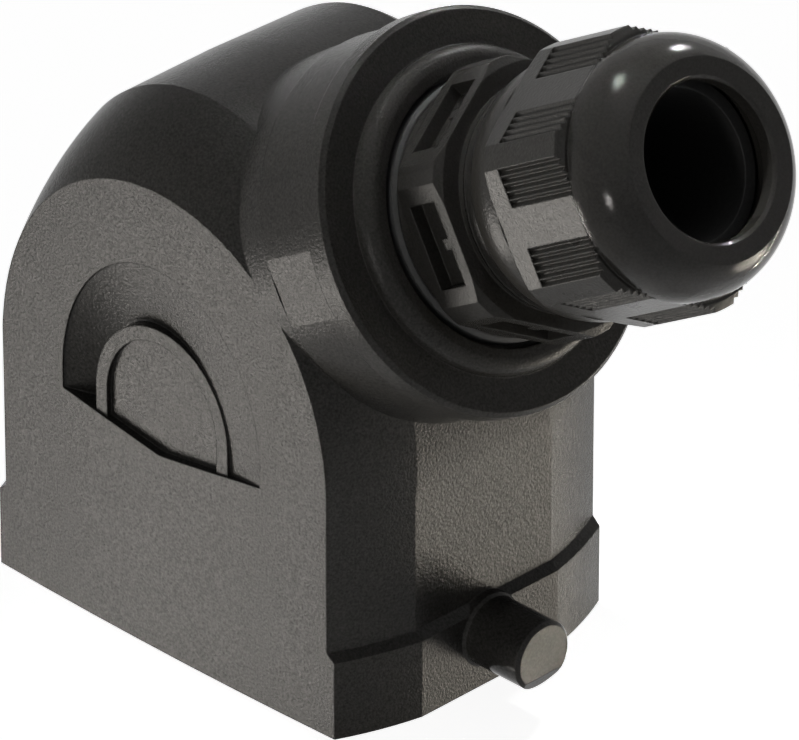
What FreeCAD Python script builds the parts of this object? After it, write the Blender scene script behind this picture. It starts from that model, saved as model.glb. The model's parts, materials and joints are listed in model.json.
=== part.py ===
import FreeCAD, Part
import math
import os

from FreeCAD import Placement, Rotation, Vector

# Heavy duty rectangular connector: a one-piece moulded hood with a slanted cable entry.
# Origin: centre of the hood's mating rim. +Z points up into the hood, +X towards the cable
# entry, and the two arched faces look along -Y and +Y. All lengths are in millimetres.

# Hood, plan sizes at the mating rim
RIM_HALF_LENGTH = 30.3
RIM_HALF_WIDTH = 21.5
FACE_CROWN = 0.55
FACE_HALF_LENGTH = 26.85
END_FLAT_HALF = 10.7
CORNER_BULGE = 0.32
BAND_HEIGHT = 9.8
LEDGE_STEP = 1.1
LEDGE_RISE = 0.9
LEDGE_BURY = 0.3

# Hood, arch of the flat face and of the drafted band between the two ridges
FACE_ARCH_TOP = 58.8
FACE_SPRING = 29.7
ROOF_TOP = 67.9
ROOF_SPRING = 26.4
ROOF_DRAFT_DEG = 1.4
RIDGE_SETBACK = 7.9

# Hood, hollow inside
WALL = 3.0
ROOF_WALL = 3.4
CAVITY_TOP = 61.5
CAVITY_HALF_WIDTH = 15.2
MOUTH_DEPTH = 24.0
MOUTH_CORNER_RADIUS = 4.0

# Window recess and boss in each arched face
WINDOW_HALF_WIDTH = 15.65
WINDOW_TOP = 48.9
WINDOW_SPRING = 30.0
WINDOW_SILL = 27.7
WINDOW_SILL_DIP = 2.3
WINDOW_EDGE_DEPTH = 0.4
WINDOW_DEEP_SIDE = 3.1
WINDOW_SHALLOW_SIDE = 0.7
WINDOW_CROWN_DEPTH = 1.3
BOSS_HALF_WIDTH = 10.45
BOSS_TOP = 41.1
BOSS_RECESS = 0.35
BOSS_RING_WIDTH = 1.75
BOSS_DISH_DEPTH = 0.65
BOSS_FOOT_GAP = 0.2

# Locking pegs on the short sides
PEG_RADIUS = 4.15
PEG_LENGTH = 8.3
PEG_CENTRE_Z = 6.75
PEG_CHAMFER = 0.4
PEG_ROOT_ROUND = 0.3
PEG_LEAD_CHORD = 2.4
PEG_LEAD_LENGTH = 0.9

# Slanted cable entry: stations are distances along its axis from the plane X = 0
ENTRY_TILT_DEG = 30.0
ENTRY_HEIGHT = 42.6
NECK_ROOT_RADIUS = 18.4
NECK_MID_RADIUS = 20.65
NECK_END_RADIUS = 21.6
NECK_LENGTH = 22.0
NECK_TRIM = 3.0
NECK_BORE_RADIUS = 18.0
PASSAGE_RADIUS = 15.5
SLEEVE_WALL = 2.0
SLEEVE_SHOULDER = 1.5

# Entry adapter: plug, flatted ring, disc and hub
PLUG_CLEARANCE = 0.1
PLUG_LENGTH = 5.5
PLUG_END_GAP = 0.3
ADAPTER_RADIUS = 21.85
ADAPTER_FLAT = 21.5
ADAPTER_LENGTH = 8.8
DISC_RADIUS = 22.65
DISC_THICKNESS = 3.2
DISC_EDGE = 0.5
HUB_FOOT_RADIUS = 18.3
HUB_TOP_RADIUS = 16.6
HUB_HEIGHT = 2.0
HUB_EDGE_RADIUS = 15.4
HUB_POCKET_DEPTH = 1.7
ORING_RADIUS = 0.95
GROOVE_DEPTH = 1.85
GROOVE_LENGTH = 2.2

# Cable gland body and its washer
THREAD_RADIUS = 12.4
THREAD_CLEARANCE = 0.1
THREAD_TAIL = 17.0
WASHER_RADIUS = 14.75
WASHER_THICKNESS = 2.3
WASHER_CHAMFER = 0.4
BODY_COLLAR = 1.6
BODY_COLLAR_RADIUS = 14.2
BODY_ACROSS_FLATS = 28.8
BODY_CORNER_RADIUS = 15.95
BODY_CHAMFER = 0.5
BODY_HEX_LENGTH = 7.2
BODY_NECK_RADIUS = 12.8
BODY_NECK_LENGTH = 11.6
NECK_CHAMFER = 0.5
BODY_BORE_RADIUS = 9.6
CAGE_SEAT_RADIUS = 11.45
CAGE_SEAT_DEPTH = 9.0
PANEL_LENGTH = 4.2
PANEL_HEIGHT = 9.6
PANEL_DEPTH = 1.7
PANEL_NUB_WIDTH = 1.3
PANEL_NUB_REACH = 0.95

# Cap nut
NUT_GAP = 2.9
NUT_COLLAR_RADIUS = 13.4
NUT_COLLAR_LENGTH = 5.0
NUT_COLLAR_ROUND = 0.8
NUT_ACROSS_FLATS = 29.0
NUT_CORNER_RADIUS = 16.0
NUT_HEX_LENGTH = 13.0
NUT_CHAMFER = 0.5
NUT_DOME_RADIUS = 14.6
NUT_DOME_ROUND = 7.1
NUT_FRONT_RADIUS = 11.2
NUT_LIP_RADIUS = 8.8
NUT_LIP_LENGTH = 2.0
NUT_LIP_CHAMFER = 0.35
NUT_DISH_DEPTH = 0.1
NUT_ROOT_RADIUS = 13.9
NUT_BORE_CLEARANCE = 0.3
NUT_THREAD_LENGTH = 12.0
NUT_CONE_TIP_RADIUS = 9.4
GRIP_PAD_HALF = 2.3
GRIP_GROOVES = 5
GRIP_MARGIN = 2.8
GRIP_DEPTH = 0.5

# Clamping cage and sealing grommet
CAGE_FIT = 0.05
CAGE_WALL = 1.1
CAGE_REACH = 16.5
CAGE_RING_LENGTH = 7.0
CAGE_FINGERS = 12
CAGE_SLOT = 0.9
CAGE_NUT_GAP = 0.4
GROMMET_CLEARANCE = 0.1
GROMMET_BORE_RADIUS = 8.5
GROMMET_END_GAP = 1.0
GROMMET_NOSE = 3.2

# Contact insert
INSERT_END_GAP = 1.0
INSERT_SIDE_GAP = 1.9
INSERT_CORNER_RADIUS = 2.5
PLATE_BOTTOM = 14.0
PLATE_THICKNESS = 6.0
FLANGE_END = 6.8
FLANGE_SIDE = 6.2
COLLAR_WALL = 1.5
COLLAR_BOTTOM = 2.0
BLOCK_HEIGHT = 13.0
BLOCK_CORNER_RADIUS = 1.2
CONTACT_PITCH_X = 12.0
CONTACT_PITCH_Y = 10.4
CONTACT_COLUMNS = 3
CONTACT_ROWS = 2
PIN_RADIUS = 1.25
PIN_SETBACK = 3.5
PIN_NOSE = 0.6
STEM_HALF = 1.6
STEM_CLEARANCE = 0.1
TERMINAL_LENGTH = 5.6
TERMINAL_WIDTH = 6.4
TERMINAL_HEIGHT = 8.5
TERMINAL_FLOOR = 2.5
WELL_CLEARANCE = 0.15
WIRE_HOLE_RADIUS = 1.7
WIRE_HOLE_DEPTH = 6.5
CLAMP_SCREW_RADIUS = 1.4
CLAMP_SCREW_TIP = 1.3
CLAMP_SCREW_DROP = 3.4
ACCESS_HALF = 1.9
DRIVER_SLOT = 0.7
DRIVER_SLOT_DEPTH = 0.7

# Insert fixing screws and the hood posts that take them
FIXING_FROM_END = 3.2
FIXING_FROM_SIDE = 3.1
FIXING_RADIUS = 1.9
FIXING_CLEARANCE = 0.15
FIXING_HEAD_RADIUS = 2.9
FIXING_HEAD_LENGTH = 2.6
FIXING_GRIP = 9.0
FIXING_END_GAP = 1.0
FIXING_POST_RADIUS = 3.3
FIXING_POST_HEIGHT = 12.0
FIXING_WEB = 2.4

# Earth terminals at the two ends of the insert
EARTH_PLATE_THICKNESS = 1.0
EARTH_PLATE_WIDTH = 10.0
EARTH_PLATE_DROP = 5.0
EARTH_PLATE_GAP = 0.3
EARTH_LEG_FROM_END = 1.3
EARTH_CLEARANCE = 0.15
EARTH_SCREW_RADIUS = 1.5
EARTH_SCREW_LENGTH = 4.5
EARTH_WASHER_RADIUS = 2.3
EARTH_WASHER_THICKNESS = 0.6
EARTH_HEAD_RADIUS = 2.2
EARTH_HEAD_LENGTH = 1.8

# General allowances
SEAT_GAP = 0.05
SMALL = 0.01
CUT_MARGIN = 1.0
SHOULDER_BULGE = 0.9
SHOULDER_SECTIONS = 4
ARCH_LEAN = 0.05

# Values that follow from the sizes above
ALONG_Z = Vector(0, 0, 1)
ALONG_X = Vector(1, 0, 0)
FACE_EDGE_Y = RIM_HALF_WIDTH - FACE_CROWN
OUTERMOST_Y = RIM_HALF_WIDTH + FACE_CROWN
RIDGE_Y = RIM_HALF_WIDTH - RIDGE_SETBACK
WALL_HALF_LENGTH = RIM_HALF_LENGTH - LEDGE_STEP
MOUTH_HALF_LENGTH = WALL_HALF_LENGTH - WALL
MOUTH_HALF_WIDTH = RIM_HALF_WIDTH - WALL
DISC_BACK = NECK_LENGTH + ADAPTER_LENGTH
DISC_FRONT = DISC_BACK + DISC_THICKNESS
HUB_TOP = DISC_FRONT + HUB_HEIGHT
WASHER_BACK = HUB_TOP - HUB_POCKET_DEPTH
BODY_BACK = WASHER_BACK + WASHER_THICKNESS
BODY_HEX_BACK = BODY_BACK + BODY_COLLAR
BODY_HEX_FRONT = BODY_HEX_BACK + BODY_HEX_LENGTH
BODY_FRONT = BODY_HEX_FRONT + BODY_NECK_LENGTH
NUT_BACK = BODY_HEX_FRONT + NUT_GAP
NUT_HEX_BACK = NUT_BACK + NUT_COLLAR_LENGTH
NUT_HEX_FRONT = NUT_HEX_BACK + NUT_HEX_LENGTH
NUT_DOME_CENTRE = NUT_DOME_RADIUS - NUT_DOME_ROUND
NUT_FRONT = NUT_HEX_FRONT + math.sqrt(NUT_DOME_ROUND ** 2 - (NUT_FRONT_RADIUS - NUT_DOME_CENTRE) ** 2)
NUT_BORE_RADIUS = BODY_NECK_RADIUS + NUT_BORE_CLEARANCE
NUT_CONE_BACK = NUT_BACK + NUT_THREAD_LENGTH
NUT_CONE_FRONT = NUT_FRONT - NUT_DISH_DEPTH - NUT_LIP_LENGTH
CAGE_BACK = BODY_FRONT - CAGE_SEAT_DEPTH + SEAT_GAP
CAGE_OUTER = CAGE_SEAT_RADIUS - CAGE_FIT
CAGE_FRONT = CAGE_BACK + CAGE_REACH
GROMMET_FRONT = CAGE_FRONT + GROMMET_NOSE
INSERT_HALF_LENGTH = MOUTH_HALF_LENGTH - INSERT_END_GAP
INSERT_HALF_WIDTH = MOUTH_HALF_WIDTH - INSERT_SIDE_GAP
BLOCK_HALF_LENGTH = INSERT_HALF_LENGTH - FLANGE_END
BLOCK_HALF_WIDTH = INSERT_HALF_WIDTH - FLANGE_SIDE
FIXING_X = INSERT_HALF_LENGTH - FIXING_FROM_END
FIXING_Y = INSERT_HALF_WIDTH - FIXING_FROM_SIDE
EARTH_PLATE_START = BLOCK_HALF_LENGTH + EARTH_PLATE_GAP
EARTH_LEG_X = INSERT_HALF_LENGTH - EARTH_LEG_FROM_END
EARTH_SCREW_X = (EARTH_PLATE_START + EARTH_LEG_X) / 2
PLATE_TOP = PLATE_BOTTOM + PLATE_THICKNESS
BLOCK_TOP = PLATE_TOP + BLOCK_HEIGHT
TERMINAL_BOTTOM = PLATE_TOP + TERMINAL_FLOOR
CLAMP_HEIGHT = TERMINAL_BOTTOM + TERMINAL_HEIGHT - CLAMP_SCREW_DROP


class Outline:
    """A closed outline of lines and arcs, drawn in two coordinates."""

    def __init__(self, u, v):
        self.first = (u, v)
        self.here = (u, v)
        self.steps = []

    def line(self, u, v):
        self.steps.append((self.here, None, (u, v)))
        self.here = (u, v)
        return self

    def arc(self, mid_u, mid_v, u, v):
        self.steps.append((self.here, (mid_u, mid_v), (u, v)))
        self.here = (u, v)
        return self

    def wire(self, place):
        if self.here != self.first:
            self.line(*self.first)
        edges = []
        for start, middle, end in self.steps:
            if middle is None:
                edges.append(Part.LineSegment(place(*start), place(*end)).toShape())
            else:
                edges.append(Part.Arc(place(*start), place(*middle), place(*end)).toShape())
        return Part.Wire(edges)


def turned(outline):
    """A solid of revolution about Z from an outline of radius and height."""
    face = Part.Face(outline.wire(lambda radius, height: Vector(radius, 0, height)))
    return face.revolve(Vector(0, 0, 0), ALONG_Z, 360)


def disc(radius, low, high, x=0.0, y=0.0):
    """A plain cylinder along Z."""
    return Part.makeCylinder(radius, high - low, Vector(x, y, low))


def box(x_low, x_high, y_low, y_high, z_low, z_high):
    return Part.makeBox(x_high - x_low, y_high - y_low, z_high - z_low, Vector(x_low, y_low, z_low))


def centred_box(half_x, half_y, z_low, z_high, x=0.0, y=0.0):
    return box(x - half_x, x + half_x, y - half_y, y + half_y, z_low, z_high)


def hexagon(across_flats, low, high):
    """A hexagonal bar about Z with one flat facing -Y."""
    corner = across_flats / 2 / math.cos(math.radians(30))
    points = []
    for side in range(6):
        angle = math.radians(60 * side)
        points.append(Vector(corner * math.cos(angle), corner * math.sin(angle), low))
    return Part.Face(Part.makePolygon(points + points[:1])).extrude(Vector(0, 0, high - low))


def rounded_box(half_x, half_y, z_low, z_high, radius):
    solid = centred_box(half_x, half_y, z_low, z_high)
    upright = [edge for edge in solid.Edges if edge.BoundBox.ZLength > (z_high - z_low) / 2]
    return solid.makeFillet(radius, upright)


def mirrored_y(shape):
    return shape.mirror(Vector(0, 0, 0), Vector(0, 1, 0))


def mirrored_x(shape):
    return shape.mirror(Vector(0, 0, 0), Vector(1, 0, 0))


def on_entry(shape):
    """Move a shape drawn along Z onto the slanted entry axis."""
    turn = Rotation(Vector(0, 1, 0), 90 - ENTRY_TILT_DEG)
    placed = shape.copy()
    placed.Placement = Placement(Vector(0, 0, ENTRY_HEIGHT), turn).multiply(placed.Placement)
    return placed


def bulged_middle(start, end, bulge):
    """The middle point of an arc from start to end that stands out to the right by bulge."""
    along = (end[0] - start[0], end[1] - start[1])
    length = math.hypot(*along)
    out = (along[1] / length, -along[0] / length)
    return ((start[0] + end[0]) / 2 + out[0] * bulge, (start[1] + end[1]) / 2 + out[1] * bulge)


class FlatArc:
    """A shallow arc through two points, read as a value at any place along it."""

    def __init__(self, start, end, bulge):
        half = math.hypot(end[0] - start[0], end[1] - start[1]) / 2
        self.radius = (half ** 2 + bulge ** 2) / (2 * bulge)
        middle = bulged_middle(start, end, bulge - self.radius)
        self.centre = middle

    def value(self, place):
        reach = self.radius ** 2 - (place - self.centre[1]) ** 2
        return self.centre[0] + math.sqrt(max(reach, 0.0))


def corner_arc(inset):
    """The bulged corner of the hood's plan, set in by inset: X for a place in Y."""
    face_end = (FACE_HALF_LENGTH - inset, -FACE_EDGE_Y)
    return FlatArc(face_end, (RIM_HALF_LENGTH - inset, -END_FLAT_HALF), CORNER_BULGE)


def plan_wire(inset, z):
    """The hood's plan with bulged corners and flat ends, run out past the crowned faces."""
    corner = corner_arc(inset)
    end_x = RIM_HALF_LENGTH - inset
    far_x = corner.value(-OUTERMOST_Y)
    mid_x = corner.value(-FACE_EDGE_Y)
    outline = Outline(-far_x, -OUTERMOST_Y).line(far_x, -OUTERMOST_Y)
    outline.arc(mid_x, -FACE_EDGE_Y, end_x, -END_FLAT_HALF).line(end_x, END_FLAT_HALF)
    outline.arc(mid_x, FACE_EDGE_Y, far_x, OUTERMOST_Y).line(-far_x, OUTERMOST_Y)
    outline.arc(-mid_x, FACE_EDGE_Y, -end_x, END_FLAT_HALF).line(-end_x, -END_FLAT_HALF)
    outline.arc(-mid_x, -FACE_EDGE_Y, -far_x, -OUTERMOST_Y)
    return outline.wire(lambda x, y: Vector(x, y, z))


def arch_wire(half_width, spring, top, y, bottom=0.0):
    """An arch in a plane of constant Y: two upright legs and half an ellipse."""
    crown_point = Vector(0, y, top)
    side_point = Vector(-half_width, y, spring)
    centre = Vector(0, y, spring)
    if top - spring > half_width:
        ellipse = Part.Ellipse(crown_point, Vector(half_width, y, spring), centre)
        crown = ellipse.toShape(-math.pi / 2, math.pi / 2)
    else:
        ellipse = Part.Ellipse(side_point, crown_point, centre)
        crown = ellipse.toShape(0, math.pi)
    left_foot = Vector(-half_width, y, bottom)
    right_foot = Vector(half_width, y, bottom)
    left_top = crown.valueAt(crown.FirstParameter)
    right_top = crown.valueAt(crown.LastParameter)
    left_leg = Part.LineSegment(left_foot, left_top).toShape()
    right_leg = Part.LineSegment(right_top, right_foot).toShape()
    sill = Part.LineSegment(right_foot, left_foot).toShape()
    return Part.Wire([left_leg, crown, right_leg, sill])


def crowned_slab():
    """The space between the two gently crowned arched faces."""
    reach = RIM_HALF_LENGTH + LEDGE_STEP
    crown_radius = (FACE_HALF_LENGTH ** 2 + FACE_CROWN ** 2) / (2 * FACE_CROWN)
    edge = RIM_HALF_WIDTH - crown_radius + math.sqrt(crown_radius ** 2 - reach ** 2)
    outline = Outline(-reach, -edge).arc(0, -RIM_HALF_WIDTH, reach, -edge).line(reach, edge)
    outline.arc(0, RIM_HALF_WIDTH, -reach, edge)
    return Part.Face(outline.wire(lambda x, y: Vector(x, y, 0))).extrude(ALONG_Z * 2 * ROOF_TOP)


def arched_block():
    """Upright walls under a drafted roof band, trimmed by a blended shoulder at each face."""
    corner = corner_arc(LEDGE_STEP)
    foot = BAND_HEIGHT / 2
    walls = Part.Face(plan_wire(LEDGE_STEP, foot)).extrude(ALONG_Z * ROOF_TOP)
    draft = math.tan(math.radians(ROOF_DRAFT_DEG))
    ridge_top = ROOF_TOP - RIDGE_Y * draft
    roof = FlatArc((FACE_ARCH_TOP, -RIM_HALF_WIDTH), (ridge_top, -RIDGE_Y), SHOULDER_BULGE)
    sections = []
    for step in range(SHOULDER_SECTIONS + 1):
        y = OUTERMOST_Y * (step / SHOULDER_SECTIONS - 1)
        share = (y + RIM_HALF_WIDTH) / RIDGE_SETBACK
        spring = FACE_SPRING + (ROOF_SPRING - FACE_SPRING) * share
        sections.append(arch_wire(corner.value(y) + ARCH_LEAN, spring, roof.value(y), y))
    shoulder = Part.makeLoft(sections, True, False)
    half_width = WALL_HALF_LENGTH + ARCH_LEAN
    edge_top = ROOF_TOP - OUTERMOST_Y * draft
    band_edge = arch_wire(half_width, ROOF_SPRING, edge_top, -OUTERMOST_Y)
    band_middle = arch_wire(half_width, ROOF_SPRING, ROOF_TOP, 0)
    band = Part.makeLoft([band_edge, band_middle], True, True)
    crown = shoulder.common(band)
    return walls.common(crown.fuse(mirrored_y(crown)))


def rim_band():
    """The stepped band at the mating rim, with a sloped ledge that runs into the block."""
    band = Part.Face(plan_wire(0, 0)).extrude(ALONG_Z * BAND_HEIGHT)
    buried = LEDGE_STEP + LEDGE_BURY
    top = BAND_HEIGHT + LEDGE_RISE * buried / LEDGE_STEP
    ledge = Part.makeLoft([plan_wire(0, BAND_HEIGHT), plan_wire(buried, top)], True, True)
    return band.fuse(ledge)


def entry_neck():
    """The stout round neck, swelling a little towards its end face."""
    outline = Outline(0, 0).line(NECK_ROOT_RADIUS, 0)
    outline.arc(NECK_MID_RADIUS, NECK_LENGTH / 2, NECK_END_RADIUS, NECK_LENGTH).line(0, NECK_LENGTH)
    return on_entry(turned(outline))


def neck_seat():
    """The space past the neck's flat end face, where the adapter sits."""
    return on_entry(disc(NECK_END_RADIUS + NECK_TRIM, NECK_LENGTH, HUB_TOP))


def neck_bore():
    """The stepped hole through the neck into the hood."""
    shoulder = NECK_LENGTH - PLUG_LENGTH - PLUG_END_GAP
    passage = disc(PASSAGE_RADIUS, 0, NECK_LENGTH)
    socket = disc(NECK_BORE_RADIUS, shoulder, NECK_LENGTH)
    return on_entry(passage.fuse(socket))


def hood_cavity():
    """The wiring space under the roof, left solid where the neck's sleeve passes."""
    half_length = WALL_HALF_LENGTH - ROOF_WALL
    low = MOUTH_DEPTH - CUT_MARGIN
    arch = Part.Face(arch_wire(half_length, ROOF_SPRING, CAVITY_TOP, -CAVITY_HALF_WIDTH, low))
    space = arch.extrude(Vector(0, 2 * CAVITY_HALF_WIDTH, 0))
    sleeve_back = NECK_LENGTH - PLUG_LENGTH - PLUG_END_GAP - SLEEVE_SHOULDER
    sleeve = on_entry(disc(NECK_BORE_RADIUS + SLEEVE_WALL, sleeve_back, DISC_FRONT))
    return space.cut(sleeve)


def window_arch(half_width, top, near, far):
    """An arched prism from near to far in front of the mid plane, with the window's spring."""
    face = Part.Face(arch_wire(half_width, WINDOW_SPRING, top, -near))
    return face.extrude(Vector(0, near - far, 0))


def window_recess():
    """The arched recess in the -Y face, deepest at its -X side, round a flat ringed boss."""
    edge_depth = RIM_HALF_WIDTH - WINDOW_EDGE_DEPTH
    outer = arch_wire(WINDOW_HALF_WIDTH, WINDOW_SPRING, WINDOW_TOP, -edge_depth)
    foot = BOSS_HALF_WIDTH + BOSS_FOOT_GAP
    mean_depth = (WINDOW_DEEP_SIDE + WINDOW_SHALLOW_SIDE) / 2
    foot_y = mean_depth - RIM_HALF_WIDTH
    inner = arch_wire(foot, WINDOW_SPRING, BOSS_TOP + BOSS_FOOT_GAP, foot_y)
    pivot = Vector(0, foot_y, WINDOW_SPRING)
    rise = math.atan((mean_depth - WINDOW_CROWN_DEPTH) / (BOSS_TOP - WINDOW_SPRING))
    lean = math.atan((WINDOW_DEEP_SIDE - WINDOW_SHALLOW_SIDE) / (2 * foot))
    inner.rotate(pivot, ALONG_X, math.degrees(rise))
    inner.rotate(pivot, ALONG_Z, -math.degrees(lean))
    dish = Part.makeLoft([outer, inner], True, True)
    rim = window_arch(WINDOW_HALF_WIDTH, WINDOW_TOP, edge_depth, OUTERMOST_Y)
    ring_face = RIM_HALF_WIDTH - BOSS_RECESS
    boss = window_arch(BOSS_HALF_WIDTH, BOSS_TOP, 0, ring_face)
    inside_ring = BOSS_HALF_WIDTH - BOSS_RING_WIDTH
    hollow = window_arch(inside_ring, BOSS_TOP - BOSS_RING_WIDTH, ring_face - BOSS_DISH_DEPTH, OUTERMOST_Y)
    sill_mid = WINDOW_SILL - WINDOW_SILL_DIP
    sill = Outline(-RIM_HALF_LENGTH, WINDOW_SILL).line(-WINDOW_HALF_WIDTH, WINDOW_SILL)
    sill.line(0, sill_mid).line(WINDOW_HALF_WIDTH, WINDOW_SILL).line(RIM_HALF_LENGTH, WINDOW_SILL)
    sill.line(RIM_HALF_LENGTH, ROOF_TOP).line(-RIM_HALF_LENGTH, ROOF_TOP)
    above = Part.Face(sill.wire(lambda x, z: Vector(x, -OUTERMOST_Y, z))).extrude(Vector(0, OUTERMOST_Y, 0))
    return dish.fuse(rim).cut(boss).fuse(hollow).common(above)


def locking_peg():
    """A round peg on the +X end: chamfered rim, slanted lead-in under its tip, widened root."""
    start = WALL_HALF_LENGTH - LEDGE_STEP
    end = RIM_HALF_LENGTH + PEG_LENGTH
    root = PEG_RADIUS + PEG_ROOT_ROUND
    outline = Outline(0, start).line(root, start).line(root, RIM_HALF_LENGTH)
    outline.line(PEG_RADIUS, RIM_HALF_LENGTH + PEG_ROOT_ROUND).line(PEG_RADIUS, end - PEG_CHAMFER)
    outline.line(PEG_RADIUS - PEG_CHAMFER, end).line(0, end)
    peg = turned(outline)
    peg.rotate(Vector(0, 0, 0), Vector(0, 1, 0), 90)
    peg.translate(Vector(0, 0, PEG_CENTRE_Z))
    low = PEG_CENTRE_Z - PEG_RADIUS
    lead = Outline(end - PEG_LEAD_LENGTH, low).line(end, PEG_CENTRE_Z - PEG_LEAD_CHORD)
    lead.line(end + CUT_MARGIN, PEG_CENTRE_Z - PEG_LEAD_CHORD).line(end + CUT_MARGIN, low - CUT_MARGIN)
    lead.line(end - PEG_LEAD_LENGTH, low - CUT_MARGIN)
    under = Part.Face(lead.wire(lambda x, z: Vector(x, -PEG_RADIUS, z)))
    return peg.cut(under.extrude(Vector(0, 2 * PEG_RADIUS, 0)))


def fixing_places():
    for side_x in (-1, 1):
        for side_y in (-1, 1):
            yield side_x * FIXING_X, side_y * FIXING_Y


def fixing_posts():
    """Corner posts that take the insert's fixing screws, tied to the walls by webs."""
    low = PLATE_TOP + SEAT_GAP
    high = low + FIXING_POST_HEIGHT
    posts = []
    for x, y in fixing_places():
        posts.append(disc(FIXING_POST_RADIUS, low, high, x, y))
        end_x = math.copysign(WALL_HALF_LENGTH - WALL / 2, x)
        end_y = math.copysign(RIM_HALF_WIDTH - WALL / 2, y)
        half = FIXING_WEB / 2
        posts.append(box(min(x, end_x), max(x, end_x), y - half, y + half, low, high))
        posts.append(box(x - half, x + half, min(y, end_y), max(y, end_y), low, high))
    return posts[0].multiFuse(posts[1:])


def hood_shell():
    outer = arched_block().fuse(rim_band()).common(crowned_slab()).fuse(entry_neck())
    outer = outer.cut(neck_seat())
    mouth = rounded_box(MOUTH_HALF_LENGTH, MOUTH_HALF_WIDTH, -WALL, MOUTH_DEPTH, MOUTH_CORNER_RADIUS)
    shell = outer.cut(mouth).cut(hood_cavity()).cut(neck_bore())
    recess = window_recess()
    shell = shell.cut(recess).cut(mirrored_y(recess))
    peg = locking_peg()
    shell = shell.multiFuse([peg, mirrored_x(peg), fixing_posts()])
    holes = []
    for x, y in fixing_places():
        holes.append(disc(FIXING_RADIUS, PLATE_TOP, PLATE_TOP + FIXING_GRIP, x, y))
    return shell.cut(holes)


def entry_adapter():
    """Plug, flatted ring, disc and hub in one piece, bored for the gland's thread."""
    bore = THREAD_RADIUS + THREAD_CLEARANCE
    plug = NECK_BORE_RADIUS - PLUG_CLEARANCE
    plug_back = NECK_LENGTH - PLUG_LENGTH
    groove_low = plug_back + (PLUG_LENGTH - GROOVE_LENGTH) / 2
    groove_high = groove_low + GROOVE_LENGTH
    outline = Outline(bore, plug_back).line(plug, plug_back)
    outline.line(plug, groove_low).line(plug - GROOVE_DEPTH, groove_low)
    outline.line(plug - GROOVE_DEPTH, groove_high).line(plug, groove_high)
    outline.line(plug, NECK_LENGTH).line(ADAPTER_RADIUS, NECK_LENGTH)
    outline.line(ADAPTER_RADIUS, DISC_BACK).line(DISC_RADIUS, DISC_BACK)
    outline.line(DISC_RADIUS, DISC_FRONT - DISC_EDGE).line(DISC_RADIUS - DISC_EDGE, DISC_FRONT)
    outline.line(HUB_FOOT_RADIUS, DISC_FRONT)
    swell = (HUB_FOOT_RADIUS - HUB_TOP_RADIUS) * (1 - math.sqrt(0.5))
    swell_at = HUB_TOP - HUB_HEIGHT * (1 - math.sqrt(0.5))
    outline.arc(HUB_FOOT_RADIUS - swell, swell_at, HUB_TOP_RADIUS, HUB_TOP)
    outline.line(HUB_EDGE_RADIUS, HUB_TOP).line(HUB_EDGE_RADIUS, WASHER_BACK).line(bore, WASHER_BACK)
    adapter = turned(outline)
    for side in (-1, 1):
        near = side * ADAPTER_FLAT
        far = side * (ADAPTER_RADIUS + CUT_MARGIN)
        low = min(near, far)
        high = max(near, far)
        adapter = adapter.cut(box(-ADAPTER_RADIUS, ADAPTER_RADIUS, low, high, NECK_LENGTH, DISC_BACK))
    return on_entry(adapter)


def entry_o_ring():
    plug = NECK_BORE_RADIUS - PLUG_CLEARANCE
    middle = NECK_LENGTH - PLUG_LENGTH / 2
    ring_radius = plug - GROOVE_DEPTH + ORING_RADIUS
    return on_entry(Part.makeTorus(ring_radius, ORING_RADIUS, Vector(0, 0, middle)))


def gland_washer():
    bore = THREAD_RADIUS + THREAD_CLEARANCE
    outline = Outline(bore, WASHER_BACK).line(WASHER_RADIUS, WASHER_BACK)
    outline.line(WASHER_RADIUS, BODY_BACK - WASHER_CHAMFER).line(WASHER_RADIUS - WASHER_CHAMFER, BODY_BACK)
    return on_entry(turned(outline.line(bore, BODY_BACK)))


def hexed(low, high, across_flats, corner_radius, chamfer):
    """A hexagonal band about Z whose corners are turned off and chamfered."""
    inner = corner_radius - 2 * chamfer
    outline = Outline(0, low).line(inner, low).line(corner_radius, low + chamfer)
    outline.line(corner_radius, high - chamfer).line(inner, high).line(0, high)
    return turned(outline).common(hexagon(across_flats, low, high))


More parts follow.
